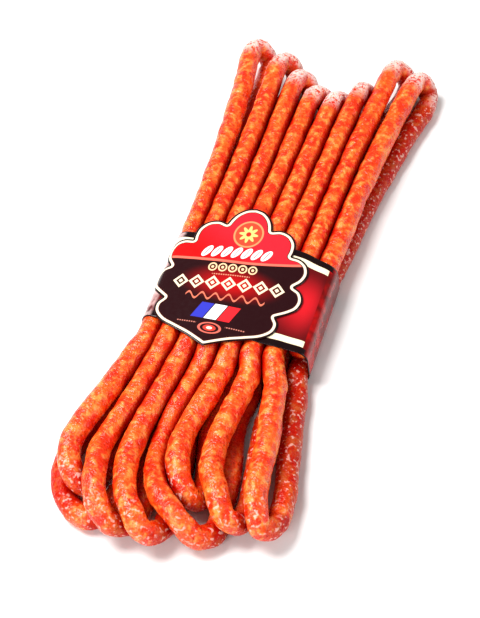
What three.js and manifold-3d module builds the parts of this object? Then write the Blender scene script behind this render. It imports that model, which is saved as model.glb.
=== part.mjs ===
// A hank of thin cured sausages: long loops laid side by side in two rows, folded back on
// themselves at both ends, and held round the middle by a printed band with a die-cut label.
// Millimetres. +Y runs along the hank towards the folds that hung on the smoking stick, +Z is up,
// and the origin is the middle of the underside.
import * as THREE from "three";
import { mergeVertices } from "three/addons/utils/BufferGeometryUtils.js";
import Module from "manifold-3d";

const wasm = await Module();
wasm.setup();

// ---- Driving dimensions ----
const sausageDiameter = 13;
const clearance = 0.3; // between any two pieces
const bandThickness = 0.5;
const bandGap = 0.6; // between the wrap and the sausages that it holds
const bandWidth = 78.5; // along the hank
const bandCentreY = -8.75;
const labelThickness = 0.4;
const labelCentreX = -8.2;
const loopsPerRow = 8;
const archHeight = 4; // how far the middle of the bundle stands above its edges
const rowShift = 1; // lower row to the right of the upper row, inside the band
const endGap = 6; // between two cut ends that meet under the band
const loneEnd = 5; // how far inside the near mouth the one end stops that meets no other
const straightLead = 7; // of a sausage outside each mouth of the band
const farReach = 204.5; // the longest far fold, out from the band
const nearReach = 136; // the longest near fold, out from the band

const labelTop = [0, 56.5];
// The lobes of the right half, each as points along its edge down to the notch or tip that ends it.
const labelLobes = [
  [[6, 54.8], [11.2, 50], [14, 44.5], [15.2, 40.3]],
  [[20.5, 42], [27.5, 40], [32.3, 34], [33.4, 27], [33, 23.2]],
  [[38.5, 22.8], [44, 19], [46.5, 12], [45, 5], [41.2, -0.5]],
  [[45.8, -3], [48.8, -9.5], [47.6, -17], [43, -22.5], [36.6, -27.3]],
  [[39.4, -32], [38.6, -39], [32.5, -45.5], [22.5, -50], [12.5, -54], [0, -60.2]],
];
const steepestLabel = 1.2; // radians that the label turns down round the left corner, at most

const sides = 12; // of a sausage's section
const nodeStep = 5; // length between the points of a sausage while it settles
const settleRounds = 420;
const longestRing = 19; // longest stretch between two sections
const sharpestRing = 0.28; // most turn between two sections, radians
const arcSteps = 4; // segments of each rounded corner of the band
const labelSteps = 4; // segments between two points of the label's edge

const radius = sausageDiameter / 2;
const pitch = sausageDiameter + clearance; // of the sausages inside the band, both ways
const lowRowZ = bandThickness + bandGap + radius;
const labelInside = radius + bandGap + bandThickness + clearance; // from a sausage's middle
const halfSpan = ((loopsPerRow - 1) * pitch) / 2;
const nearMouth = bandCentreY - bandWidth / 2;
const farMouth = bandCentreY + bandWidth / 2;

// ---- Places inside the band: 1 to 8 from left to right, in an upper and a lower row ----
function archedPlace(n, base) {
  const x = (n - (loopsPerRow + 1) / 2) * pitch;
  return [x, base + archHeight * (1 - (x / halfSpan) ** 2)];
}

function upperPlace(n) {
  return archedPlace(n, lowRowZ + pitch);
}

function lowerPlace(n) {
  const [x, z] = archedPlace(n, lowRowZ);
  return [x + rowShift, z];
}

// The straight stretch of a sausage through the whole band and a little way out of both mouths.
function through([x, z], fromFar) {
  const run = [...mouthPlaces(nearMouth), ...mouthPlaces(farMouth)].map((y) => [x, y, z]);
  return fromFar ? run.reverse() : run;
}

// Three points in line keep a sausage straight until it is out of the band.
function mouthPlaces(mouth) {
  return [mouth - straightLead, mouth, mouth + straightLead];
}

// The stretch from a cut end inside the band out of its far or near mouth.
function farEnd([x, z], end = bandCentreY + endGap / 2) {
  return [end, ...mouthPlaces(farMouth)].map((y) => [x, y, z]);
}

function nearEnd([x, z]) {
  return [bandCentreY - endGap / 2, ...mouthPlaces(nearMouth).reverse()].map((y) => [x, y, z]);
}

// ---- Folds, as points chosen along the middle of the sausage ----
// Far folds: the upper leg's place where it turns over, how far the fold ends short of the
// longest one, and how far to the right the lower leg goes back. Chosen for one diameter.
const drawnDiameter = 13;
const grown = sausageDiameter / drawnDiameter;
const farFolds = [
  { across: -60, short: 2, width: 12 },
  { across: -37, short: 11, width: 12 },
  { across: -19, short: 26, width: 12 },
  { across: -3, short: 40, width: 11 },
  { across: 10, short: 41, width: 10 },
  { across: 23, short: 29, width: 10 },
  { across: 42, short: 0, width: 12 },
  { across: 61, short: 9, width: 11 },
];

// From the far mouth in the upper row, over the fold, and back to the far mouth in the lower row.
function farFold(n) {
  const fold = farFolds[n - 1];
  const x = grown * fold.across;
  const width = grown * fold.width;
  const y = farMouth + farReach - fold.short;
  const top = radius + pitch + 0.5;
  const [upperX] = upperPlace(n);
  const [lowerX] = lowerPlace(n);
  return [
    [upperX + 0.2 * (x - upperX), farMouth + 0.35 * (y - farMouth), top + 1],
    [upperX + 0.7 * (x - upperX), farMouth + 0.75 * (y - farMouth), top + 1],
    [x, y - 2.6 * radius, top + 1],
    [x + 0.15 * width, y - 1.5 * radius, top - 1],
    [x + 0.5 * width, y - radius, 0.55 * (top + radius)],
    [x + 0.9 * width, y - 1.5 * radius, radius + 1],
    [x + width, y - 2.6 * radius, radius],
    [lowerX + 0.7 * (x + width - lowerX), farMouth + 0.72 * (y - farMouth), radius],
    [lowerX + 0.25 * (x + width - lowerX), farMouth + 0.35 * (y - farMouth), radius],
  ];
}

// Near folds: down the left leg from the near mouth, round the tip and back up the right leg,
// as places across the hank, out from the mouth and up, chosen for one diameter and reach.
const drawnReach = 136;
const nearGuides = {
  a: [
    [-48, 16, 19],
    [-54, 49, 20],
    [-60, 78, 20],
    [-62, 95, 19],
    [-58, 109, 16],
    [-49, 118, 11],
    [-41, 110, 7],
    [-39, 92, 6.5],
    [-37, 52, 6.5],
    [-29, 16, 6.5],
  ],
  b: [
    [-47, 18, 6.5],
    [-54, 48, 6.5],
    [-62, 74, 6.5],
    [-64, 92, 6.5],
    [-59, 106, 6.5],
    [-49, 117, 6.5],
    [-38, 123, 6.5],
    [-29, 118, 6.5],
    [-26, 107, 6.5],
    [-26, 98, 6.5],
  ],
  c: [
    [-36, 14, 16],
    [-38, 40, 15],
    [-42, 67, 15],
    [-46, 90, 16],
    [-43, 110, 20],
    [-35, 128, 21],
    [-23, 135, 15],
    [-14, 126, 8],
    [-14, 108, 6.5],
    [-23, 82, 6.5],
    [-23, 52, 6.5],
    [-15, 16, 6.5],
  ],
  d: [
    [-24, 14, 20],
    [-24, 36, 20],
    [-27, 62, 20],
    [-29, 88, 20],
    [-26, 108, 21],
    [-18, 125, 21],
    [-6, 136, 15],
    [3, 127, 8],
    [4, 106, 6.5],
    [2, 80, 6.5],
    [-3, 48, 6.5],
    [-1, 16, 6.5],
  ],
  e: [
    [-6, 14, 17],
    [-8, 40, 14],
    [-11, 64, 11],
    [-11, 86, 11],
    [-7, 102, 15],
    [2, 115, 20],
    [14, 123, 18],
    [28, 128, 10],
    [38, 119, 7],
    [34, 96, 6.5],
    [27, 70, 6.5],
    [19, 44, 6.5],
    [23, 16, 6.5],
  ],
  f: [
    [4, 14, 20],
    [0, 40, 20],
    [-3, 64, 20],
    [-2, 82, 21],
    [4, 98, 20],
    [13, 107, 15],
    [19, 103, 9],
    [18, 86, 6.5],
    [10, 52, 6.5],
    [12, 16, 6.5],
  ],
  g: [
    [23, 14, 20],
    [21, 42, 20],
    [19, 66, 20],
    [20, 86, 20],
    [27, 101, 20],
    [37, 116, 14],
    [45, 112, 8],
    [46, 94, 6.5],
    [43, 70, 6.5],
    [40, 44, 6.5],
    [38, 16, 6.5],
  ],
  h: [
    [38, 18, 20],
    [41, 40, 20],
    [44, 65, 20],
    [44, 86, 20],
    [45, 104, 18],
    [50, 117, 12],
    [58, 110, 7],
    [60, 92, 6.5],
    [57, 69, 6.5],
    [53, 44, 6.5],
    [49, 18, 6.5],
  ],
};

function nearFold(letter) {
  const along = nearReach / drawnReach;
  return nearGuides[letter].map(([x, out, z]) => [x * grown, nearMouth - out * along, z * grown]);
}

// A sausage with one far fold, whose upper leg n runs through the band to a near fold.
function oneLoop(upper, letter, lowerEnd) {
  return [
    ...farEnd(lowerPlace(upper)),
    ...farFold(upper).reverse(),
    ...through(upperPlace(upper), true),
    ...nearFold(letter),
    ...nearEnd(lowerPlace(lowerEnd)).reverse(),
  ];
}

const routes = {
  // Both ends of the leftmost sausage go round near folds: its lower leg is near fold b.
  sausage_1: [
    ...nearFold("b").reverse(),
    ...through(lowerPlace(1), false),
    ...farFold(1).reverse(),
    ...through(upperPlace(1), true),
    ...nearFold("a"),
    ...nearEnd(lowerPlace(2)).reverse(),
  ],
  sausage_2: oneLoop(2, "c", 3),
  sausage_3: oneLoop(3, "d", 4),
  sausage_4: oneLoop(4, "e", 6),
  sausage_5: oneLoop(5, "f", 5),
  sausage_6: oneLoop(6, "g", 7),
  // The rightmost sausage has two far folds, joined by near fold h.
  sausage_7: [
    ...farEnd(lowerPlace(7)),
    ...farFold(7).reverse(),
    ...through(upperPlace(7), true),
    ...nearFold("h"),
    ...through(lowerPlace(8), false),
    ...farFold(8).reverse(),
    ...farEnd(upperPlace(8), nearMouth + loneEnd).reverse(),
  ],
};

// ---- Settling: sausages that would run into each other are pushed apart ----
function startLine(route) {
  const curve = new THREE.CatmullRomCurve3(
    route.map((p) => new THREE.Vector3(...p)),
    false,
    "centripetal",
  );
  curve.arcLengthDivisions = 2000;
  return curve.getSpacedPoints(Math.round(curve.getLength() / nodeStep));
}

function settle(lines) {
  const nodes = lines.flatMap((line, strand) =>
    line.map((start, at) => ({
      strand,
      at,
      last: line.length - 1,
      start,
      shift: new THREE.Vector3(),
      fixed: start.y > nearMouth - straightLead && start.y < farMouth + straightLead,
    })),
  );
  // Points half a step out of line with each other are a little nearer than the sausages are.
  const apart = pitch + 0.5;
  const ownReach = Math.ceil((2.6 * sausageDiameter) / nodeStep);
  const place = nodes.map(({ start }) => start.clone());
  const push = new THREE.Vector3();
  const underLabel = labelTop[1] - bandCentreY + radius;
  for (let round = 0; round < settleRounds; round++) {
    for (let i = 0; i < nodes.length; i++) {
      for (let j = i + 1; j < nodes.length; j++) {
        push.subVectors(place[i], place[j]);
        if (Math.abs(push.x) > apart || Math.abs(push.y) > apart) continue;
        const near = push.length();
        if (near >= apart) continue;
        if (nodes[i].strand === nodes[j].strand && j - i <= ownReach) continue;
        push.multiplyScalar((0.3 * (apart - near)) / near);
        if (!nodes[i].fixed) place[i].add(push);
        if (!nodes[j].fixed) place[j].sub(push);
      }
    }
    const softness = round < 0.8 * settleRounds ? 0.25 : 0.03;
    nodes.forEach((node, i) => {
      node.shift.subVectors(place[i], node.start);
    });
    nodes.forEach((node, i) => {
      if (node.fixed) {
        place[i].copy(node.start);
        return;
      }
      const before = nodes[node.at > 0 ? i - 1 : i].shift;
      const after = nodes[node.at < node.last ? i + 1 : i].shift;
      place[i].x += softness * (before.x + after.x - 2 * node.shift.x);
      place[i].y += softness * (before.y + after.y - 2 * node.shift.y);
      place[i].z += softness * (before.z + after.z - 2 * node.shift.z);
      place[i].z = Math.max(place[i].z, radius);
      const roof = archedPlace(1 + (place[i].x + halfSpan) / pitch, lowRowZ + pitch)[1];
      if (Math.abs(place[i].y - bandCentreY) < underLabel) place[i].z = Math.min(place[i].z, roof);
    });
  }
  let next = 0;
  return lines.map((line) => line.map(() => place[next++]));
}

// Sections stand close together round a fold and far apart along a straight leg.
function ringPlaces(line) {
  const rings = [line[0]];
  let length = 0;
  let turn = 0;
  for (let i = 1; i < line.length - 1; i++) {
    const before = new THREE.Vector3().subVectors(line[i], line[i - 1]);
    const after = new THREE.Vector3().subVectors(line[i + 1], line[i]);
    length += before.length();
    turn += before.angleTo(after);
    const nextLength = length + after.length();
    const atMouth = [nearMouth, farMouth].some((y) => Math.abs(line[i].y - y) < 1.4 * nodeStep);
    if (atMouth || turn > sharpestRing || nextLength > longestRing) {
      rings.push(line[i]);
      length = 0;
      turn = 0;
    }
  }
  rings.push(line[line.length - 1]);
  return rings;
}

// A curve that gives one section at each of its own points.
class RingCurve extends THREE.CatmullRomCurve3 {
  getUtoTmapping(u) {
    return u;
  }
}

function sausageGeometry(line) {
  const rings = ringPlaces(line);
  const section = new THREE.Shape().absarc(0, 0, radius, 0, 2 * Math.PI);
  return new THREE.ExtrudeGeometry(section, {
    steps: rings.length - 1,
    curveSegments: sides / 2,
    extrudePath: new RingCurve(rings, false, "centripetal"),
  });
}

// ---- The band: a sleeve wrapped round all the sausages ----
// The places that the wrapping touches, anticlockwise from the lower left.
function wrappedPlaces() {
  const upper = [];
  for (let n = loopsPerRow; n >= 1; n--) upper.push(upperPlace(n));
  return [lowerPlace(1), lowerPlace(loopsPerRow), ...upper];
}

// The outline at a distance from those places: an arc at each corner, straight between them.
function wrapOutline(path, distance) {
  const places = wrappedPlaces();
  places.forEach(([x, z], i) => {
    const [fromX, fromZ] = places.at(i - 1);
    const [toX, toZ] = places[(i + 1) % places.length];
    const start = Math.atan2(z - fromZ, x - fromX) - Math.PI / 2;
    const end = Math.atan2(toZ - z, toX - x) - Math.PI / 2;
    path.absarc(x, z, distance, start, end, false);
  });
  return path;
}

function sleeveGeometry(inside, thickness, width, centreY) {
  const outline = wrapOutline(new THREE.Shape(), inside + thickness);
  outline.holes.push(wrapOutline(new THREE.Path(), inside));
  return new THREE.ExtrudeGeometry(outline, {
    depth: width,
    bevelEnabled: false,
    curveSegments: arcSteps,
  })
    .rotateX(Math.PI / 2)
    .translate(0, centreY + width / 2, 0);
}

// ---- The label: a scalloped card that lies on the band and follows its curve ----
function labelPlate() {
  const outline = new THREE.Shape().moveTo(...labelTop);
  const edge = (points) => outline.splineThru(points.map((point) => new THREE.Vector2(...point)));
  labelLobes.forEach(edge);
  // The left half is the right half mirrored, its lobes in the opposite order.
  const notches = [labelTop, ...labelLobes.map((lobe) => lobe.at(-1))];
  for (let i = labelLobes.length - 1; i >= 0; i--) {
    edge([notches[i], ...labelLobes[i].slice(0, -1)].reverse().map(bentDown));
  }
  return new THREE.ExtrudeGeometry(outline, {
    depth: 4 * sausageDiameter,
    bevelEnabled: false,
    curveSegments: labelSteps,
  }).translate(labelCentreX, 0, lowRowZ + pitch);
}

// Where a point of the flat label's left half lies, seen from above, once the label has bent down
// round the left corner of the band.
function bentDown([across, along]) {
  const flat = halfSpan + labelCentreX;
  if (across <= flat) return [-across, along];
  const turn = Math.min((across - flat) / labelInside, steepestLabel);
  return [-flat - labelInside * Math.sin(turn), along];
}

function toSolid(geometry) {
  geometry.deleteAttribute("normal");
  geometry.deleteAttribute("uv");
  const merged = mergeVertices(geometry, 1e-3);
  return new wasm.Manifold(
    new wasm.Mesh({
      numProp: 3,
      vertProperties: merged.attributes.position.array,
      triVerts: new Uint32Array(merged.index.array),
    }),
  );
}

function fromSolid(solid) {
  const mesh = solid.getMesh();
  return new THREE.BufferGeometry()
    .setAttribute("position", new THREE.BufferAttribute(mesh.vertProperties, 3))
    .setIndex(new THREE.BufferAttribute(mesh.triVerts, 1));
}

function labelGeometry() {
  const cover = sleeveGeometry(labelInside, labelThickness, 4 * bandWidth, bandCentreY);
  return fromSolid(toSolid(cover).intersect(toSolid(labelPlate())));
}

// ---- Assembly ----
function piece(name, geometry, colour, roughness) {
  const material = new THREE.MeshStandardMaterial({
    color: colour,
    roughness,
    metalness: 0,
  });
  const mesh = new THREE.Mesh(geometry, material);
  mesh.name = name;
  return mesh;
}

const bundle = new THREE.Group();
const settled = settle(Object.values(routes).map(startLine));
Object.keys(routes).forEach((name, i) => {
  bundle.add(piece(name, sausageGeometry(settled[i]), 0xe2501f, 0.4));
});
const band = sleeveGeometry(radius + bandGap, bandThickness, bandWidth, bandCentreY);
bundle.add(piece("band", band, 0xa01018, 0.25));
bundle.add(piece("label", labelGeometry(), 0x2a0a0c, 0.25));

// The middle of the whole hank's underside becomes the origin.
const box = new THREE.Box3().setFromObject(bundle);
const middle = box.getCenter(new THREE.Vector3());
bundle.position.set(-middle.x, -middle.y, -box.min.z);

const group = new THREE.Group();
group.add(bundle);

export default group;
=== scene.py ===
"""A hank of thin cured sausages in a printed paper wrap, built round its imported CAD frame."""

import math

import bmesh
import bpy
import numpy as np
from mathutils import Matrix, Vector
from mathutils.geometry import delaunay_2d_cdt
from mathutils.kdtree import KDTree


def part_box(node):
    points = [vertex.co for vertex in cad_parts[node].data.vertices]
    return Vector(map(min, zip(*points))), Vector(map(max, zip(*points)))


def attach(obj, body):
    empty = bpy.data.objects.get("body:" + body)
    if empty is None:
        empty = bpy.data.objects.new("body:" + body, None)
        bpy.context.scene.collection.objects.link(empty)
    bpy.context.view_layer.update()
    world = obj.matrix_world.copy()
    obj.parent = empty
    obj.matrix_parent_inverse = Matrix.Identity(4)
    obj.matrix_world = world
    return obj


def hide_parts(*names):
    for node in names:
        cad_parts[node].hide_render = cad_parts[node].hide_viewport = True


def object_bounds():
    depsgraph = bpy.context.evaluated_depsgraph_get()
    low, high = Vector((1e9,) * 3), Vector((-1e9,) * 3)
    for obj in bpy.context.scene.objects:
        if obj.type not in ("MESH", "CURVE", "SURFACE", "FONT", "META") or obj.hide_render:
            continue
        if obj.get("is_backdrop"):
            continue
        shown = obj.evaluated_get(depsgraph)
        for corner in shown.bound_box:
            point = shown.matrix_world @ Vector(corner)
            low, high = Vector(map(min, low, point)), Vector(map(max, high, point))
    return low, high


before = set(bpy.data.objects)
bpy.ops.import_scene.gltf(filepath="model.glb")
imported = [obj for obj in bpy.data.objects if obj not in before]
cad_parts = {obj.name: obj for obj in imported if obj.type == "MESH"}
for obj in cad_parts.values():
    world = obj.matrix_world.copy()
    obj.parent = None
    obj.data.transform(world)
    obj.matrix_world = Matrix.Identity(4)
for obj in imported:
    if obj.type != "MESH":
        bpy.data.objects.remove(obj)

cad_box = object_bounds()
MM = 0.001

# ---- Sizes, in metres unless a comment says otherwise ----
SPLINE_STEPS = 24  # between two points of a spline

# The CAD sausages and the sections of the skins over them.
SECTION_CORNERS = 12  # of a CAD sausage
CAD_RADIUS = 6.5 * MM
WELD = 0.01 * MM  # corners of the CAD mesh closer than this are one
SAME_PLANE = 1 - 1e-6  # least cosine between the normals of two faces in one plane
RING_CORNERS = 44
RING_STEP = 1.1 * MM  # between two sections where they show
HELD_STEP = 3.0 * MM  # and inside the wrap
HIDDEN_DEPTH = 8 * MM  # how far inside the wrap the coarser sections start
SHORTEST_STEP = 0.3 * MM  # before the last section
BEND_WINDOW = 9  # sections that the bend is averaged over

# What presses on a skin.
SKIN_RADIUS = 6.95 * MM  # a sausage where nothing presses on it
HELD_RADIUS = 6.8 * MM  # and inside the wrap
END_ROUNDING = 3.2 * MM  # length over which a cut end is rounded off
CONTACT_REACH = 3 * SKIN_RADIUS  # between middle lines, the furthest that a neighbour counts
SHADE_FADE = 2.15 * SKIN_RADIUS  # and where its shade starts to fade
OWN_STRETCH = 17 * MM  # length either way in which a sausage is not its own neighbour
CONTACT_GAP = 0.06 * MM  # left between two pressed skins
FLOOR_GAP = 0.02 * MM  # left between a skin and the floor
LEAST_OVER_FLOOR = 3 * MM
BEND_SHARE = 0.93  # of a bend's own radius, the most that the skin inside it takes up
PRESS_SHARPNESS = 18  # how sudden the edge of a pressed flat is
NO_LIMIT = 1.0

# The shape of a skin: how far it differs from round, and over what length.
LONG_SWELL, LONG_SWELL_SIZE = 0.040, 21 * MM  # swells are shares of the radius
SHORT_SWELL, SHORT_SWELL_SIZE = 0.030, 8.5 * MM
LARGE_LUMP, LARGE_LUMP_SIZE = 0.45, 7.0 * MM  # lumps are millimetres high
SMALL_LUMP, SMALL_LUMP_SIZE = 0.24, 3.0 * MM
CREASE_DEPTH, CREASE_PITCH = 0.30 * MM, 3.4 * MM
WRINKLE_DEPTH, WRINKLE_SIZE = 0.35 * MM, 1.9 * MM
FOLD_OUT = 60 * MM  # a turn of a middle line this far out of the wrap is a fold
FOLD_REACH = 26 * MM  # how far down its legs a fold still shows the mark of the stick

# The wrap.
WRAP_THICKNESS = 0.35 * MM
WRAP_STEP = 1.0 * MM
WRAP_SMOOTHINGS = 3  # rounds that soften the corners of its outline
HELD_PITCH = 13.3 * MM  # of the sausages inside it
SINK_DEPTH = 0.22 * MM  # of the paper between two of them
BUCKLE_DEPTH, BUCKLE_SIZE = 0.12 * MM, 11 * MM
EDGE_WAVE, EDGE_WAVE_SIZE = 0.35 * MM, 13 * MM
FAR_SLANT = 5.0 * MM  # how much shorter the wrap is at its far right
NEAR_SLANT = 5.5 * MM  # and at its near left

# The label card.
CARD_LIFT = 0.35 * MM  # its underside above the wrap
CARD_THICKNESS = 0.35 * MM
CARD_STEP = 0.9 * MM
CARD_RIPPLE, CARD_RIPPLE_SIZE = 0.15 * MM, 16 * MM
CARD_EDGE_STRIDE = 4  # every fourth point of a spline is a corner of its outline
CARD_CENTRE_FROM_WRAP = -8.7  # mm, across, from the middle of the wrap

# The printed patterns, in millimetres.
PANEL_END = 49.5  # across, where the wrap's red panel and its lines stop
INK_SPREAD = 0.15  # half the softness of a printed edge
ROW_TILT = math.radians(5.4)  # that the rows of ornament climb to the right
ROSETTE_X, ROSETTE_Y = 1.2, 33.6
LEAF_RISE = 16.9  # each row's height above the middle of the card
RING_RISE = 3.6
DOTS_RISE = -2.2
LOZENGE_RISE = -9.5
WAVE_RISE = -20.6
SMALL_PITCH = 6.4  # of the leaves and of the rings
LARGE_PITCH = 10.2  # of the lozenges
DOT_PITCH = 1.5
DOT_HALF = 0.4  # half the height of a dotted line

# The camera.
CAMERA_ANGLES = (20, 50, -4)  # degrees round to the right, up, and rolled
CAMERA_DISTANCE = 0.9564
CAMERA_LENS = 88  # mm
CAMERA_SENSOR = 36  # mm high
AIM_ACROSS = -1.67 * MM  # from the middle of the wrap
AIM_ALONG = 0.29 * MM
AIM_HEIGHT = 9.29 * MM


# ---- Numbers: smooth noise, splines, outlines ----
def lattice_noise(points, size, seed):
    """Smooth noise between -1 and 1 whose lumps are about size across. Each value comes from a fixed
    hash of its lattice point, so it is the same on every run."""
    scaled = np.asarray(points) / size
    low = np.floor(scaled).astype(np.int64)
    part = scaled - low
    part = part * part * (3 - 2 * part)
    total = np.zeros(len(scaled))
    for corner in np.ndindex(*(2,) * scaled.shape[1]):
        place = low + corner
        code = seed * 1013
        for axis, prime in enumerate((73856093, 19349663, 83492791)[: scaled.shape[1]]):
            code = code ^ (place[:, axis] * prime)
        code = (code * 2654435761) & 0xFFFFFFFF
        code = ((code ^ (code >> 15)) * 2246822519) & 0xFFFFFFFF
        value = ((code ^ (code >> 13)) & 0xFFFF) / 0x7FFF - 1
        weight = np.prod(np.where(corner, part, 1 - part), axis=1)
        total += weight * value
    return total


def along_noise(places, size, seed):
    """The same in one dimension, along a line."""
    return lattice_noise(np.stack([places, np.full_like(places, 0.37 * size)], axis=1), size, seed)


def smooth_step(value, low, high):
    """0 at low, 1 at high, smooth between."""
    t = np.clip((value - low) / (high - low), 0, 1)
    return t * t * (3 - 2 * t)


def unit(vectors):
    return vectors / np.linalg.norm(vectors, axis=-1, keepdims=True)


def spline_through(points):
    """A dense centripetal Catmull-Rom line through the points."""
    ends = [2 * points[0] - points[1], *points, 2 * points[-1] - points[-2]]
    line = [points[0]]
    for before, start, end, after in zip(ends, ends[1:], ends[2:], ends[3:]):
        spans = ((before, start), (start, end), (end, after))
        d0, d1, d2 = (math.sqrt(np.linalg.norm(b - a)) for a, b in spans)
        leave = (start - before) / d0 - (end - before) / (d0 + d1) + (end - start) / d1
        arrive = (end - start) / d1 - (after - start) / (d1 + d2) + (after - end) / d2
        leave, arrive = leave * d1, arrive * d1
        for t in np.linspace(0, 1, SPLINE_STEPS + 1)[1:]:
            line.append(
                (2 * t**3 - 3 * t**2 + 1) * start
                + (t**3 - 2 * t**2 + t) * leave
                + (3 * t**2 - 2 * t**3) * end
                + (t**3 - t**2) * arrive
            )
    return np.array(line)


def lengths_along(line):
    """The length of the line up to each of its points."""
    return np.concatenate([[0], np.cumsum(np.linalg.norm(np.diff(line, axis=0), axis=1))])


def at_lengths(line, places):
    """The points of the line at the given lengths along it."""
    measured = lengths_along(line)
    return np.stack([np.interp(places, measured, column) for column in line.T], axis=1)


# ---- Meshes ----
def add_mesh(name, points, faces, material, uv=None, **attributes):
    """A smooth mesh, with a value at each point for each attribute and, if uv is given, for its print."""
    mesh = bpy.data.meshes.new(name)
    mesh.from_pydata(np.asarray(points).tolist(), [], [list(map(int, face)) for face in faces])
    for key, values in attributes.items():
        layer = mesh.attributes.new(key, "FLOAT", "POINT")
        layer.data.foreach_set("value", np.asarray(values, np.float32))
    if uv is not None:
        corners = np.empty(len(mesh.loops), np.int32)
        mesh.loops.foreach_get("vertex_index", corners)
        layer = mesh.uv_layers.new(name="print")
        layer.data.foreach_set("uv", np.asarray(uv, np.float32)[corners].ravel())
    mesh.polygons.foreach_set("use_smooth", np.ones(len(mesh.polygons), bool))
    mesh.materials.append(material)
    mesh.validate()
    piece = bpy.data.objects.new(name, mesh)
    bpy.context.scene.collection.objects.link(piece)
    return piece


def grid_faces(rows, columns, closed):
    """Quads of a grid of points whose rows close on themselves if closed."""
    row = np.arange(rows - 1)[:, None] * columns
    column = np.arange(columns if closed else columns - 1)[None, :]
    following = (column + 1) % columns
    quads = [row + column, row + following, row + columns + following, row + columns + column]
    return np.stack(quads, axis=-1).reshape(-1, 4)


# ---- Shader building ----
class Value:
    """A shader number that can be worked with like a plain one."""

    def __init__(self, tree, socket):
        self.tree = tree
        self.socket = socket

    def math(self, operation, *others):
        node = self.tree.nodes.new("ShaderNodeMath")
        node.operation = operation
        for place, item in enumerate((self, *others)):
            if isinstance(item, Value):
                self.tree.links.new(item.socket, node.inputs[place])
            else:
                node.inputs[place].default_value = item
        return Value(self.tree, node.outputs[0])

    def __add__(self, other):
        return self.math("ADD", other)

    def __sub__(self, other):
        return self.math("SUBTRACT", other)

    def __mul__(self, other):
        return self.math("MULTIPLY", other)

    def __truediv__(self, other):
        return self.math("DIVIDE", other)

    def __abs__(self):
        return self.math("ABSOLUTE")

    def highest(self, other):
        return self.math("MAXIMUM", other)

    def squared(self):
        return self.math("POWER", 2.0)

    def root(self):
        return self.math("SQRT")

    def repeat(self, pitch):
        """Distance from the middle of the cell that the value is in, cells being pitch wide."""
        return self.math("WRAP", pitch / 2, -pitch / 2)

    def ramp(self, low, high):
        """0 at low, 1 at high, smooth between. low may be the larger."""
        node = self.tree.nodes.new("ShaderNodeMapRange")
        node.interpolation_type = "SMOOTHSTEP"
        self.tree.links.new(self.socket, node.inputs["Value"])
        backwards = low > high
        node.inputs["From Min"].default_value = min(low, high)
        node.inputs["From Max"].default_value = max(low, high)
        node.inputs["To Min"].default_value = 1.0 if backwards else 0.0
        node.inputs["To Max"].default_value = 0.0 if backwards else 1.0
        return Value(self.tree, node.outputs["Result"])


class Shader:
    """A material under construction."""

    def __init__(self, name):
        self.material = bpy.data.materials.new(name)
        self.material.use_nodes = True
        self.tree = self.material.node_tree
        self.surface = self.tree.nodes["Principled BSDF"]

    def new(self, kind):
        return self.tree.nodes.new(kind)

    def attribute(self, name):
        node = self.new("ShaderNodeAttribute")
        node.attribute_name = name
        return Value(self.tree, node.outputs["Fac"])

    def print_place(self):
        """Across and along the printed sheet, in millimetres."""
        uv = self.new("ShaderNodeUVMap")
        uv.uv_map = "print"
        split = self.new("ShaderNodeSeparateXYZ")
        self.tree.links.new(uv.outputs["UV"], split.inputs[0])
        return Value(self.tree, split.outputs["X"]), Value(self.tree, split.outputs["Y"])

    def noise(self, size, detail=2.0, rough=0.5):
        """Noise between 0 and 1, fixed to the object, whose lumps are about size across."""
        node = self.new("ShaderNodeTexNoise")
        place = self.new("ShaderNodeTexCoord").outputs["Object"]
        self.tree.links.new(place, node.inputs["Vector"])
        node.inputs["Scale"].default_value = 1 / size
        node.inputs["Detail"].default_value = detail
        node.inputs["Roughness"].default_value = rough
        return Value(self.tree, node.outputs["Fac"])

    def mix(self, share, under, over):
        """The colour under, with the colour over laid on it by share."""
        node = self.new("ShaderNodeMix")
        node.data_type = "RGBA"
        self.tree.links.new(share.socket, node.inputs["Factor"])
        for socket, colour in ((node.inputs[6], under), (node.inputs[7], over)):
            if isinstance(colour, tuple):
                socket.default_value = (*colour, 1)
            else:
                self.tree.links.new(colour, socket)
        return node.outputs[2]

    def set(self, **values):
        """Sets inputs of the surface, each to a number, a value or a socket."""
        for name, value in values.items():
            socket = self.surface.inputs[name.replace("_", " ")]
            if isinstance(value, Value):
                self.tree.links.new(value.socket, socket)
            elif isinstance(value, bpy.types.NodeSocket):
                self.tree.links.new(value, socket)
            else:
                socket.default_value = value

    def bump(self, height, depth, strength=1.0):
        """Raises the surface by height, a value between 0 and 1, times depth in metres."""
        node = self.new("ShaderNodeBump")
        node.inputs["Strength"].default_value = strength
        node.inputs["Distance"].default_value = depth
        self.tree.links.new(height.socket, node.inputs["Height"])
        return node.outputs["Normal"]


def linear(level):
    """A display level, 0 to 255, as the shader's linear one, 0 to 1."""
    return ((level / 255 + 0.055) / 1.055) ** 2.4 if level > 10 else level / 255 / 12.92


def rgb(red, green, blue):
    """A display colour as the shader's linear one."""
    return linear(red), linear(green), linear(blue)


BLACK_INK = rgb(20, 2, 4)
CREAM_LINE = rgb(255, 232, 204)
RING_INK = rgb(246, 206, 160)
LOZENGE_INK = rgb(255, 228, 194)


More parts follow.
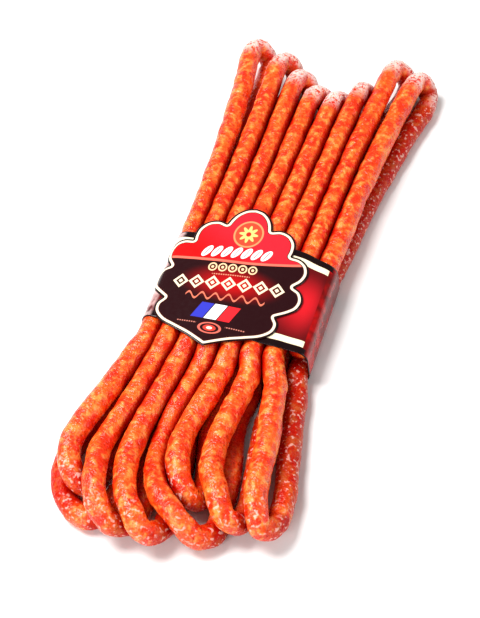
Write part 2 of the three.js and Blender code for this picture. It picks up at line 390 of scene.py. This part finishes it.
# ---- Materials ----
def casing_material():
    """Natural casing over coarse meat: fat shows through as soft lighter patches. Three attributes mark
    where shade is painted in, in crevices and under other sausages, where it hung on the stick and where
    glints are painted on as small highlights."""
    shader = Shader("casing")
    meat = shader.noise(9 * MM, 2.0, 0.5)
    fat = shader.noise(4.6 * MM, 2.5, 0.55)
    pebble = shader.noise(2.4 * MM, 1.0, 0.5)
    grain = shader.noise(1.2 * MM, 2.0, 0.6)
    painted_shade = shader.attribute("painted_shade")
    stick = shader.attribute("stick")
    colour = shader.mix(meat.ramp(0.38, 0.62), rgb(238, 48, 8), rgb(250, 90, 22))
    colour = shader.mix(fat.ramp(0.48, 0.68) * 0.65, colour, rgb(255, 162, 74))
    colour = shader.mix(fat.ramp(0.46, 0.30) * 0.55, colour, rgb(204, 20, 2))
    colour = shader.mix(pebble.ramp(0.42, 0.28) * 0.45, colour, rgb(170, 10, 0))
    # Painted shade: the skin is darkened to deep red in crevices, where other sausages lie over it and on
    # the lower legs at the right.
    colour = shader.mix(painted_shade * 0.95, colour, rgb(164, 0, 0))
    pale_fold_patches = stick * (fat * 0.35 + pebble * 0.3 + grain * 0.35).ramp(0.41, 0.52)
    colour = shader.mix(pale_fold_patches * 0.9, colour, rgb(252, 218, 210))
    # Painted highlight: small whitish glints on the outer upper side of the near folds and on the lower
    # legs at the right.
    painted_glint = shader.attribute("painted_glint") * pebble.ramp(0.58, 0.68)
    colour = shader.mix(painted_glint * 0.5, colour, rgb(255, 214, 200))
    relief = grain * 0.15 + pebble * 0.45 + fat * 0.40
    shader.set(
        Base_Color=colour,
        Roughness=grain.ramp(0.3, 0.7) * 0.12 + 0.22,
        Subsurface_Weight=0.10,
        Subsurface_Radius=(1.0, 0.10, 0.02),
        Subsurface_Scale=1.4 * MM,
        Specular_IOR_Level=painted_shade * -0.38 + 0.42,
        Normal=shader.bump(relief, 1.8 * MM, 1.0),
    )
    return shader.material


def gloss_print(shader, colour, dull):
    """Varnished paper: a little uneven, with fine creases."""
    waves = shader.noise(9 * MM, 2.0, 0.5)
    shader.set(
        Base_Color=colour,
        Roughness=dull * 0.15 + 0.14,
        Specular_IOR_Level=0.28,
        Normal=shader.bump(waves, 0.5 * MM, 0.35),
    )
    return shader.material


def wrap_material(half_width):
    """The wrap's print: black edges, cream lines, a red panel and a dark red film beyond it. Places and
    half_width, half the wrap's size along the hank, are millimetres from the middle of its top."""
    shader = Shader("wrap_print")
    across, along = shader.print_place()
    edge = abs(along) * -1 + half_width
    film = shader.mix(shader.noise(10 * MM).ramp(0.35, 0.65), rgb(104, 0, 0), rgb(190, 4, 6))
    # The panel is lit from its own middle outwards.
    from_middle = ((across - 40).squared() / 260 + (along + 2).squared() / 560).root()
    panel = shader.mix(from_middle.ramp(0.1, 1.3), rgb(206, 24, 34), rgb(92, 6, 10))
    colour = shader.mix((across - PANEL_END).ramp(-0.3, 0.3), panel, film)
    # Neither cream line goes on past the panel, and the near one is only on the right half.
    lined = along.ramp(-1, 1).highest(across.ramp(-1, 1)) * (across - PANEL_END).ramp(0.15, -0.15)
    cream = edge.ramp(5.0, 5.3) * edge.ramp(10.2, 9.9) * lined
    colour = shader.mix(cream, colour, rgb(255, 246, 205))
    black = edge.ramp(5.0, 4.7) * (across - PANEL_END - 3).ramp(1.5, -1.5)
    colour = shader.mix(black, colour, BLACK_INK)
    # Painted reflection: the clear film over the left corner carries white glare, in streaks along the
    # hank.
    glare_band = (across + 54 + (along * 0.11).math("SINE") * 1.2).ramp(-6.0, -1.5)
    painted_glare = glare_band * (across + 49).ramp(1.5, -1.5) * shader.noise(7 * MM).ramp(0.2, 0.6)
    colour = shader.mix(painted_glare * 0.7, colour, rgb(238, 196, 192))
    colour = shader.mix(edge.ramp(1.0, 0.8), colour, BLACK_INK)
    return gloss_print(shader, colour, shader.noise(3 * MM))


def card_material():
    """The label card's print: plain ornament only. Places are millimetres from the card's middle."""
    shader = Shader("card_print")
    across, along = shader.print_place()
    edge = shader.attribute("edge")
    run = across * math.cos(ROW_TILT) + along * math.sin(ROW_TILT)
    rise = along * math.cos(ROW_TILT) - across * math.sin(ROW_TILT)

    def inside(value):
        """1 where the value is below 0."""
        return value.ramp(INK_SPREAD, -INK_SPREAD)

    def between(value, low, high):
        """1 where the value is between low and high."""
        over_low = value.ramp(low - INK_SPREAD, low + INK_SPREAD)
        return over_low * value.ramp(high + INK_SPREAD, high - INK_SPREAD)

    def dotted(height, run):
        """1 on the dots of a line at the height 0."""
        return between(height, -DOT_HALF, DOT_HALF) * between(run.repeat(DOT_PITCH), -0.45, 0.45)

    def oval(x, y, half_width, half_height):
        """Distance from the middle of an oval, 1 at its edge."""
        return (((across - x) / half_width).squared() + ((along - y) / half_height).squared()).root()

    # Grounds: bright red above the dividing line, near black with a red glow below it.
    lower = shader.mix(oval(2, -9, 36, 17).ramp(1.0, 0.0), rgb(36, 4, 8), rgb(190, 8, 12))
    upper = shader.mix((across * 0.6 + along - 20).ramp(-24, 16), rgb(226, 10, 12), rgb(255, 34, 48))
    crest = along - 8.9 - across * 0.045 - (across + 5).highest(0.0).squared() * 0.0035
    colour = shader.mix(inside(crest * -1), lower, upper)
    colour = shader.mix(between(crest, -1.0, 1.0), colour, rgb(244, 112, 92))

    # An eight-petalled rosette in a plain ring, in the top lobe.
    reach = oval(ROSETTE_X, ROSETTE_Y, 9.6, 11.6)
    turn = (along - ROSETTE_Y).math("ARCTAN2", (across - ROSETTE_X) * 1.2)
    colour = shader.mix(inside((reach - 1) * 10), colour, rgb(250, 146, 96))
    colour = shader.mix(inside((reach - 0.88) * 10), colour, rgb(224, 70, 46))
    petals = reach * 10 - (turn * 8).math("COSINE") * 1.5 - 5.0
    colour = shader.mix(inside(petals), colour, rgb(255, 206, 120))
    colour = shader.mix(inside((reach - 0.17) * 10), colour, rgb(196, 40, 26))

    def ornament_row(colour, pattern, length, tint, place=run):
        """The colour with the pattern printed over it, in a row of that length."""
        return shader.mix(pattern * between(place, -length / 2, length / 2), colour, tint)

    # A row of seven white leaves.
    leaning = run + (rise - LEAF_RISE) * -0.45
    leaf = (leaning.repeat(SMALL_PITCH) / 2.6).squared() + ((rise - LEAF_RISE) / 4.6).squared() - 1
    colour = ornament_row(colour, inside(leaf * 2), 7 * SMALL_PITCH, rgb(255, 252, 248), leaning)
    vein = between(leaning.repeat(SMALL_PITCH), -0.3, 0.3) * inside((leaf + 0.45) * 2)
    colour = ornament_row(colour, vein, 7 * SMALL_PITCH, rgb(236, 40, 50), leaning)

    # A row of five cream rings with a bead in each, over a fine dotted line.
    ring = ((run.repeat(SMALL_PITCH) / 2.9).squared() + ((rise - RING_RISE) / 3.5).squared()).root()
    colour = ornament_row(colour, between(ring * 10, 6.8, 10), 5 * SMALL_PITCH, RING_INK)
    colour = ornament_row(colour, inside(ring * 10 - 3.2), 5 * SMALL_PITCH, RING_INK)
    colour = ornament_row(colour, dotted(rise - DOTS_RISE, run), 24, rgb(224, 150, 120))

    # A row of seven large cream lozenges, each with a small one inside.
    lozenge = (abs(run.repeat(LARGE_PITCH)) / 5.0 + abs(rise - LOZENGE_RISE) / 5.8) * 10
    colour = ornament_row(colour, between(lozenge, 6.2, 10), 7 * LARGE_PITCH, LOZENGE_INK)
    colour = ornament_row(colour, inside(lozenge - 3), 7 * LARGE_PITCH, LOZENGE_INK)

    # A thin salmon wave under them.
    wave = rise - WAVE_RISE - (run * 0.75).math("SINE") * 2.4
    colour = ornament_row(colour, between(wave, -0.8, 0.8), 50, rgb(226, 118, 92))

    # Three plain slanting bars.
    slant = across - (along + 33.2) * 0.32
    bars = between(along, -39.4, -27.0)
    for middle, tint in ((-8.5, rgb(52, 56, 184)), (0.0, rgb(255, 255, 255)), (8.5, rgb(240, 36, 44))):
        colour = shader.mix(bars * between(slant, middle - 3.9, middle + 3.9), colour, tint)

    # A small ring badge at the foot, between two fine dotted lines.
    badge = oval(0.0, -46.2, 7.6, 4.4) * 5
    colour = shader.mix(between(badge, 3.9, 4.9), colour, rgb(222, 106, 90))
    colour = shader.mix(inside(badge - 2.7), colour, rgb(206, 62, 50))
    colour = shader.mix(inside(badge - 1.2), colour, rgb(252, 234, 214))
    beside_badge = between(abs(across), 9.3, 22)
    colour = shader.mix(dotted(along + 43.6, across) * beside_badge, colour, rgb(206, 126, 110))

    # From the inside out: a thin dark line, the cream line and the dark rim.
    colour = shader.mix(edge.ramp(3.7, 3.4), colour, rgb(60, 4, 8))
    colour = shader.mix(edge.ramp(3.0, 2.8), colour, CREAM_LINE)
    colour = shader.mix(edge.ramp(1.4, 1.2), colour, rgb(30, 6, 8))
    return gloss_print(shader, colour, shader.noise(3 * MM))


def floor_material():
    shader = Shader("pale_floor")
    tone = shader.noise(0.4, 2.0)
    shader.set(
        Base_Color=shader.mix(tone, (0.90, 0.895, 0.885), (0.93, 0.925, 0.915)),
        Roughness=0.9,
        Specular_IOR_Level=0.2,
    )
    return shader.material


# ---- The sausages ----
def flat_patches(bm):
    """Sets of corners of faces that lie in one plane and touch."""
    seen = set()
    for first in bm.faces:
        if first in seen:
            continue
        patch, todo = set(), [first]
        seen.add(first)
        while todo:
            face = todo.pop()
            patch.update(face.verts)
            for edge in face.edges:
                for other in edge.link_faces:
                    if other not in seen and other.normal.dot(face.normal) > SAME_PLANE:
                        seen.add(other)
                        todo.append(other)
        yield patch


def middle_of(corners):
    """The mean of the corners, added up in a fixed order so that it is the same on every run."""
    ordered = sorted(corners, key=lambda corner: corner.index)
    return sum((corner.co for corner in ordered), Vector()) / len(ordered)


def cad_middle_line(node):
    """The middle of each section of a CAD sausage, from one cut end to the other."""
    bm = bmesh.new()
    bm.from_mesh(node.data)
    bmesh.ops.remove_doubles(bm, verts=bm.verts, dist=WELD)
    bm.verts.index_update()
    for patch in flat_patches(bm):
        middle = middle_of(patch)
        widest = max((corner.co - middle).length for corner in patch)
        if len(patch) == SECTION_CORNERS and widest < 1.05 * CAD_RADIUS:
            ring = patch
            break
    seen = set(ring)
    middles = []
    while ring:
        middles.append(np.array(middle_of(ring)))
        ring = {edge.other_vert(corner) for corner in ring for edge in corner.link_edges} - seen
        seen |= ring
    bm.free()
    return np.array(middles)


wrap_low, wrap_high = (np.array(corner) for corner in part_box("band"))
wrap_middle = 0.5 * (wrap_low + wrap_high)
wrap_half_width = (wrap_high[1] - wrap_low[1]) / 2


def depth_in_wrap(points):
    """How far inside the wrap's nearer mouth a point is, negative outside it."""
    return np.minimum(points[:, 1] - wrap_low[1], wrap_high[1] - points[:, 1])


def ring_places(line):
    """Where the sections go: close together where they show, far apart inside the wrap."""
    total = lengths_along(line)[-1]
    fine = np.arange(0, total, RING_STEP)
    held = depth_in_wrap(at_lengths(line, fine)) > HIDDEN_DEPTH
    chosen = [0.0]
    for place, hidden in zip(fine, held):
        if place - chosen[-1] >= (HELD_STEP if hidden else RING_STEP) * 0.999:
            chosen.append(place)
    if total - chosen[-1] > SHORTEST_STEP:
        chosen.append(total)
    return np.array(chosen)


def frames_along(line):
    """Two directions across the line at each point, carried along without twist."""
    ahead = unit(np.gradient(line, axis=0))
    side = np.cross(ahead[0], (0, 0, 1))
    sides = []
    for direction in ahead:
        side = side - direction * np.dot(side, direction)
        side /= np.linalg.norm(side)
        sides.append(side)
    sides = np.array(sides)
    return ahead, sides, np.cross(ahead, sides)


class Sausage:
    """One sausage: its middle line, the directions across it and what is known at each section."""

    def __init__(self, name):
        self.name = name
        line = spline_through(cad_middle_line(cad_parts[name]))
        places = ring_places(line)
        self.seed = int(name.split("_")[1])
        self.places = places
        self.middles = at_lengths(line, places)
        self.ahead, self.sides, self.ups = frames_along(self.middles)
        turning = np.gradient(self.ahead, axis=0) / np.gradient(places)[:, None]
        window = np.hanning(BEND_WINDOW)
        window /= window.sum()
        self.bend = np.stack([np.convolve(column, window, "same") for column in turning.T], axis=1)
        held = smooth_step(depth_in_wrap(self.middles), -6 * MM, 1 * MM)
        self.rest_radius = SKIN_RADIUS + (HELD_RADIUS - SKIN_RADIUS) * held
        self.free = 1 - held
        self.far = self.fold_mark(self.middles[:, 1] - wrap_high[1])
        self.near = self.fold_mark(wrap_low[1] - self.middles[:, 1])

    def fold_mark(self, out):
        """1 at each fold whose middle line comes furthest out of the wrap, fading down its legs."""
        mark = np.zeros(len(self.places))
        for at in range(1, len(self.places) - 1):
            if out[at] > FOLD_OUT and out[at] >= out[at - 1] and out[at] > out[at + 1]:
                away = np.abs(self.places - self.places[at]) / FOLD_REACH
                mark = np.maximum(mark, 1 - smooth_step(away, 0.45, 1.0))
        return mark


def contact_limits(sausages):
    """For each sausage: the directions out from it, the most radius that its neighbours, the floor and
    its own bend leave it in each, and how deep in their shade it lies there."""
    owners = [(which, at) for which, s in enumerate(sausages) for at in range(len(s.places))]
    tree = KDTree(len(owners))
    for number, (which, at) in enumerate(owners):
        tree.insert(sausages[which].middles[at], number)
    tree.balance()
    angles = np.arange(RING_CORNERS) * 2 * math.pi / RING_CORNERS
    limits = []
    for which, sausage in enumerate(sausages):
        spread = (
            np.cos(angles)[None, :, None] * sausage.sides[:, None, :]
            + np.sin(angles)[None, :, None] * sausage.ups[:, None, :]
        )
        most = np.full(spread.shape[:2], NO_LIMIT)
        shaded = np.full(spread.shape[:2], NO_LIMIT)
        covered = np.zeros(len(sausage.places))
        for at, middle in enumerate(sausage.middles):
            near = []
            for point, number, _ in tree.find_range(middle, CONTACT_REACH):
                other, there = owners[number]
                if other != which or abs(sausage.places[there] - sausage.places[at]) >= OWN_STRETCH:
                    near.append(point)
            if near:
                towards = np.array(near) - middle
                apart = np.linalg.norm(towards, axis=1)
                fading = smooth_step(apart, SHADE_FADE, CONTACT_REACH)
                covered[at] = (towards[:, 2] * (1 - fading)).max()
                facing = spread[at] @ (towards / apart[:, None]).T
                room = (apart / 2 - CONTACT_GAP / 2)[None, :] / np.maximum(facing, 1e-3)
                most[at] = np.where(facing > 0.02, room, NO_LIMIT).min(axis=1)
                shaded[at] = np.where(facing > 0.02, room * (1 + 2 * fading), NO_LIMIT).min(axis=1)
        # The floor, and the inside of a tight bend.
        down = np.maximum(-spread[:, :, 2], 1e-3)
        over_floor = np.maximum(sausage.middles[:, None, 2] - FLOOR_GAP, LEAST_OVER_FLOOR)
        most = np.minimum(most, over_floor / down)
        inward = np.einsum("ijk,ik->ij", spread, sausage.bend)
        most = np.minimum(most, BEND_SHARE / np.maximum(inward, 1.0))
        near_others = 1 - smooth_step(shaded / SKIN_RADIUS, 1.0, 1.9)
        under_others = smooth_step(covered, 3 * MM, 12 * MM)[:, None]
        limits.append((spread, most, np.maximum(near_others, 0.8 * under_others)))
    return limits


def casing_radius(sausage, spread):
    """The radius in each direction where nothing presses: swells, lumps of meat, creases inside the
    bends and wrinkles on the folds that hung on the stick."""
    places = sausage.places
    seed = sausage.seed
    long_swell = LONG_SWELL * along_noise(places, LONG_SWELL_SIZE, seed)
    short_swell = SHORT_SWELL * along_noise(places, SHORT_SWELL_SIZE, seed + 20)
    swell = 1 + long_swell + short_swell
    base = sausage.rest_radius[:, None] * (1 + (swell[:, None] - 1) * sausage.free[:, None])
    skin = (sausage.middles[:, None, :] + spread * SKIN_RADIUS).reshape(-1, 3)
    shape = spread.shape[:2]
    large_lumps = LARGE_LUMP * lattice_noise(skin, LARGE_LUMP_SIZE, seed + 40)
    small_lumps = SMALL_LUMP * lattice_noise(skin, SMALL_LUMP_SIZE, seed + 60)
    lumps = (large_lumps + small_lumps).reshape(shape) * MM * (0.25 + 0.75 * sausage.free[:, None])
    # Creases run across the inside of a bend.
    inward = np.einsum("ijk,ik->ij", spread, sausage.bend) * SKIN_RADIUS
    pinch = smooth_step(inward, 0.18, 0.75)
    jitter = lattice_noise(skin, 6 * MM, seed + 80).reshape(shape)
    crease = np.cos(2 * math.pi * places[:, None] / CREASE_PITCH + 3.5 * jitter)
    creases = -CREASE_DEPTH * pinch * smooth_step(crease, 0.1, 1.0)
    # The stick leaves small crossing wrinkles over the whole fold.
    lengthened = skin * np.array([1.0, 0.55, 1.0])
    wrinkle = lattice_noise(lengthened, WRINKLE_SIZE, seed + 100).reshape(shape)
    wrinkles = WRINKLE_DEPTH * sausage.far[:, None] * -np.abs(wrinkle)
    return base + lumps + creases + wrinkles


def make_sausages(material):
    names = sorted(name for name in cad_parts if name.startswith("sausage_"))
    sausages = [Sausage(name) for name in names]
    for sausage, (spread, most, shade) in zip(sausages, contact_limits(sausages)):
        free = casing_radius(sausage, spread)
        radius = (free**-PRESS_SHARPNESS + most**-PRESS_SHARPNESS) ** (-1 / PRESS_SHARPNESS)
        # Both cut ends are rounded off.
        from_end = np.minimum(sausage.places, sausage.places[-1] - sausage.places)
        short_of = 1 - np.minimum(from_end / END_ROUNDING, 1)
        radius *= np.sqrt(np.clip(1 - short_of**2 * 0.75, 0, 1))[:, None]
        points = (sausage.middles[:, None, :] + spread * radius[:, :, None]).reshape(-1, 3)
        count = len(sausage.places)
        faces = [tuple(quad[::-1]) for quad in grid_faces(count, RING_CORNERS, True)]
        first = list(range(RING_CORNERS))
        last = [(count - 1) * RING_CORNERS + corner for corner in range(RING_CORNERS)]
        faces += [tuple(first), tuple(last[::-1])]
        # The folds that hung on the stick are painted paler in patches on their outer and upper side.
        outward = -np.einsum("ijk,ik->ij", spread, unit(sausage.bend + 1e-9))
        topside = smooth_step(outward + 0.6 * spread[:, :, 2], -0.2, 0.7)
        # Painted shade: the lower legs on the right are darkened, up to their folds, as if shaded by the
        # legs above; they also get painted glints.
        low = smooth_step(-sausage.middles[:, 2], -15 * MM, -8 * MM)
        low *= smooth_step(sausage.middles[:, 0], 20 * MM, 45 * MM) * (1 - sausage.far) * (1 - sausage.near)
        attributes = {
            "stick": (sausage.far[:, None] * topside).ravel(),
            # Painted highlight: where the glints are painted.
            "painted_glint": np.maximum(sausage.near[:, None] * topside, low[:, None]).ravel(),
            # Painted shade: darkest where neighbours press close or lie above, and on the lower right legs.
            "painted_shade": np.maximum(shade, 0.75 * low[:, None]).ravel(),
        }
        piece = add_mesh("skin_" + sausage.name, points, faces, material, **attributes)
        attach(piece, "root")
        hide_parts(sausage.name)


# ---- The wrap and its label card ----
def turns_left(before, corner, after):
    """Whether the path through three flat points turns left at the middle one."""
    ahead = np.subtract(corner, before)
    onward = np.subtract(after, corner)
    return ahead[0] * onward[1] - ahead[1] * onward[0] > 0


def hull(points):
    """The convex outline of flat points, anticlockwise."""
    points = sorted(set(map(tuple, np.round(points, 6))))

    def half(ordered):
        chain = []
        for point in ordered:
            while len(chain) > 1 and not turns_left(chain[-2], chain[-1], point):
                chain.pop()
            chain.append(point)
        return chain[:-1]

    return np.array(half(points) + half(points[::-1]))


def wrap_outline():
    """The wrap's outside across the hank, clockwise from its underside: (x, z) places at even steps,
    which way faces out there, and the length round from the middle of its top."""
    corners = np.array([v.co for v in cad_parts["band"].data.vertices])
    outline = hull(corners[:, [0, 2]])[::-1]
    outline = np.roll(outline, -np.argmin(outline[:, 1] + 0.01 * np.abs(outline[:, 0])), axis=0)
    closed = np.vstack([outline, outline[:1]])
    total = lengths_along(closed)[-1]
    count = int(total / WRAP_STEP)
    even = at_lengths(closed, np.arange(count) * total / count)
    for _ in range(WRAP_SMOOTHINGS):
        even = 0.25 * np.roll(even, 1, axis=0) + 0.5 * even + 0.25 * np.roll(even, -1, axis=0)
    ahead = unit(np.roll(even, -1, axis=0) - np.roll(even, 1, axis=0))
    outward = np.stack([-ahead[:, 1], ahead[:, 0]], axis=1)
    round_it = lengths_along(even)
    on_top = outward[:, 1] > 0.5
    middle = np.interp(wrap_middle[0], even[on_top, 0], round_it[on_top])
    return even, outward, round_it - middle


def make_wrap(material):
    outline, outward, across = wrap_outline()
    count = len(outline)
    half_width = wrap_half_width
    rows = int(2 * half_width / WRAP_STEP) + 1
    along = np.linspace(-half_width, half_width, rows)
    grid_x = np.tile(outline[:, 0], rows)
    grid_z = np.tile(outline[:, 1], rows)
    normal = np.tile(outward, (rows, 1))
    grid_y = np.repeat(along, count)
    flat = np.stack([grid_x, grid_y, grid_z], axis=1)
    # The paper sinks a little between the sausages under it, and has soft buckles of its own.
    on_top = smooth_step(normal[:, 1], 0.3, 0.9)
    between_two = 1 + np.cos(2 * math.pi * (grid_x - wrap_middle[0]) / HELD_PITCH)
    sink = -SINK_DEPTH * on_top * between_two / 2
    buckle = BUCKLE_DEPTH * lattice_noise(flat, BUCKLE_SIZE, 5)
    under = smooth_step(-normal[:, 1], 0.3, 0.9)
    push = (sink + buckle) * (1 - under)
    edge_wave = EDGE_WAVE * lattice_noise(flat * np.array([1, 0.02, 1]), EDGE_WAVE_SIZE, 8)
    near_edge = smooth_step(np.abs(grid_y), half_width * 0.6, half_width)
    # The paper is cut a little askew: short at the far right and at the near left.
    askew = -FAR_SLANT * smooth_step(grid_x, 22 * MM, 56 * MM) * smooth_step(grid_y, 0, half_width)
    askew += NEAR_SLANT * smooth_step(-grid_x, 6 * MM, 60 * MM) * smooth_step(-grid_y, 0, half_width)
    edge_trim = (edge_wave - EDGE_WAVE) * near_edge * np.sign(grid_y)
    y = wrap_middle[1] + grid_y + edge_trim + askew

    def shell(depth):
        out = push - depth
        return np.stack([grid_x + normal[:, 0] * out, y, grid_z + normal[:, 1] * out], axis=1)

    points = np.vstack([shell(0), shell(WRAP_THICKNESS)])
    size = rows * count
    outside = grid_faces(rows, count, True)
    inside = outside[:, ::-1] + size
    faces = [tuple(f) for f in np.vstack([outside, inside])]
    for row, flip in ((0, False), (rows - 1, True)):
        for corner in range(count):
            a, b = row * count + corner, row * count + (corner + 1) % count
            face = (a, a + size, b + size, b)
            faces.append(face[::-1] if flip else face)
    uv = np.stack([np.tile(across, rows) / MM, grid_y / MM], axis=1)
    piece = add_mesh("wrap", points, faces, material, uv=np.vstack([uv, uv]))
    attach(piece, "root")
    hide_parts("band")


# The label card's outline, mm from its middle: the top, then each lobe of the right half as points
# along its edge down to the notch or tip that ends it.
CARD_TOP = (0, 56.5)
CARD_LOBES = (
    ((6, 54.8), (11.2, 50), (14, 44.5), (15.2, 40.3)),
    ((20.5, 42), (27.5, 40), (32.3, 34), (33.4, 27), (33, 23.2)),
    ((38.5, 22.8), (44, 19), (46.5, 12), (45, 5), (41.2, -0.5)),
    ((45.8, -3), (48.8, -9.5), (47.6, -17), (43, -22.5), (36.6, -27.3)),
    ((39.4, -32), (38.6, -39), (32.5, -45.5), (22.5, -50), (12.5, -54), (0, -60.2)),
)


def card_outline():
    """The card's edge, clockwise from its top, in millimetres."""
    right = [np.array([CARD_TOP], float)]
    for lobe in CARD_LOBES:
        edge = spline_through([np.array(point, float) for point in (right[-1][-1], *lobe)])
        right.append(edge[CARD_EDGE_STRIDE::CARD_EDGE_STRIDE])
    right = np.vstack(right)
    left = right[-2:0:-1] * np.array([-1, 1])
    return np.vstack([right, left])


def distance_to(points, outline):
    """How far each point is from the closed outline."""
    ends = np.roll(outline, -1, axis=0)
    span = ends - outline
    share = ((points[:, None] - outline) * span).sum(-1) / (span**2).sum(-1)
    nearest = outline + np.clip(share, 0, 1)[..., None] * span
    return np.linalg.norm(points[:, None] - nearest, axis=-1).min(axis=1)


def inside_outline(points, outline):
    """Whether each point is inside the closed outline."""
    x, y = points[:, 0, None], points[:, 1, None]
    ends = np.roll(outline, -1, axis=0)
    crosses = (outline[:, 1] > y) != (ends[:, 1] > y)
    run = (ends[:, 0] - outline[:, 0]) * (y - outline[:, 1]) / (ends[:, 1] - outline[:, 1] + 1e-12)
    return (crosses & (x < outline[:, 0] + run)).sum(axis=1) % 2 == 1


def make_card(material):
    outline = card_outline()
    step = CARD_STEP / MM
    low, high = outline.min(axis=0), outline.max(axis=0)
    # Even triangles inside the outline.
    xs, ys = np.meshgrid(np.arange(low[0], high[0], step), np.arange(low[1], high[1], step * 0.87))
    xs = xs + (np.arange(len(xs)) % 2)[:, None] * step / 2
    filling = np.stack([xs.ravel(), ys.ravel()], axis=1)
    filling = filling[inside_outline(filling, outline)]
    filling = filling[distance_to(filling, outline) > 0.5 * step]
    count = len(outline)
    border = [(k, (k + 1) % count) for k in range(count)]
    corners = [Vector(point) for point in np.vstack([outline, filling])]
    flat, _, triangles, *_ = delaunay_2d_cdt(corners, border, [], 1, 1e-6)
    flat = np.array([tuple(p) for p in flat])
    triangles = [tuple(t) for t in triangles]
    # The card lies on the wrap and follows it round its left corner.
    arch, outward, across = wrap_outline()
    place = (CARD_CENTRE_FROM_WRAP + flat[:, 0]) * MM
    x, z = (np.interp(place, across, arch[:, k]) for k in (0, 1))
    lean = np.stack([np.interp(place, across, outward[:, k]) for k in (0, 1)], axis=1)
    card_low, card_high = (np.array(corner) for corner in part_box("label"))
    y = 0.5 * (card_low[1] + card_high[1]) + (flat[:, 1] - 0.5 * (low[1] + high[1])) * MM
    edge = distance_to(flat, outline)
    base = np.stack([x, y, z], axis=1)
    ripple = CARD_RIPPLE * lattice_noise(base, CARD_RIPPLE_SIZE, 3)
    normal = np.stack([lean[:, 0], np.zeros(len(x)), lean[:, 1]], axis=1)
    upper = base + normal * (CARD_LIFT + CARD_THICKNESS + ripple)[:, None]
    under = base + normal * (CARD_LIFT + ripple)[:, None]
    size = len(flat)
    faces = triangles + [tuple(i + size for i in t[::-1]) for t in triangles]
    # The rim joins the two faces along the sides that only one triangle has.
    edges = {pair: None for a, b, c in triangles for pair in ((a, b), (b, c), (c, a))}
    for a, b in edges:
        if (b, a) not in edges:
            faces.append((b, a, a + size, b + size))
    points = np.vstack([upper, under])
    uv = np.vstack([flat, flat])
    piece = add_mesh("label_card", points, faces, material, uv=uv, edge=np.tile(edge, 2))
    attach(piece, "root")
    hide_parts("label")


# ---- Floor, light and camera ----
def make_floor(material):
    reach = 6
    corners = [(-reach, -reach, 0), (reach, -reach, 0), (reach, reach, 0), (-reach, reach, 0)]
    floor = add_mesh("floor", corners, [(0, 1, 2, 3)], material)
    floor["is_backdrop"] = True


def soft_light(name, place, size, power):
    """A white rectangular light that faces the origin."""
    light = bpy.data.lights.new(name, "AREA")
    light.shape = "RECTANGLE"
    light.size, light.size_y = size
    light.energy = power
    lamp = bpy.data.objects.new(name, light)
    lamp.location = place
    lamp.rotation_euler = (-Vector(place)).to_track_quat("-Z", "Y").to_euler()
    bpy.context.scene.collection.objects.link(lamp)


def light_scene():
    world = bpy.data.worlds.new("studio")
    world.use_nodes = True
    background = world.node_tree.nodes["Background"]
    background.inputs["Color"].default_value = (1, 1, 1, 1)
    background.inputs["Strength"].default_value = 0.26
    bpy.context.scene.world = world
    soft_light("key", (-0.8, 0.0, 1.5), (0.9, 0.9), 41)
    soft_light("front", (-0.3, -1.5, 0.9), (0.9, 0.4), 14)
    soft_light("right", (1.5, 0.3, 0.9), (0.5, 1.0), 8)


def aim_camera():
    """A view from the near right, well above the hank."""
    azimuth, elevation, roll = (math.radians(angle) for angle in CAMERA_ANGLES)
    target = Vector((wrap_middle[0] + AIM_ACROSS, wrap_middle[1] + AIM_ALONG, AIM_HEIGHT))
    right = math.sin(azimuth) * math.cos(elevation)
    nearer = math.cos(azimuth) * math.cos(elevation)
    back = Vector((right, -nearer, math.sin(elevation)))
    data = bpy.data.cameras.new("camera")
    data.lens = CAMERA_LENS
    data.sensor_fit = "VERTICAL"
    data.sensor_height = CAMERA_SENSOR
    camera = bpy.data.objects.new("camera", data)
    camera.location = target + back * CAMERA_DISTANCE
    level = back.to_track_quat("Z", "Y").to_matrix().to_4x4()
    level.translation = camera.location
    camera.matrix_world = level
    camera.rotation_euler.rotate_axis("Z", roll)
    bpy.context.scene.collection.objects.link(camera)
    bpy.context.scene.camera = camera


make_sausages(casing_material())
make_wrap(wrap_material(wrap_half_width / MM))
make_card(card_material())
make_floor(floor_material())
light_scene()
aim_camera()
bpy.context.scene.view_settings.view_transform = "Standard"

boxes = {"cad": cad_box, "visual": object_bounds()}
{key: [list(map(float, corner)) for corner in box] for key, box in boxes.items()}
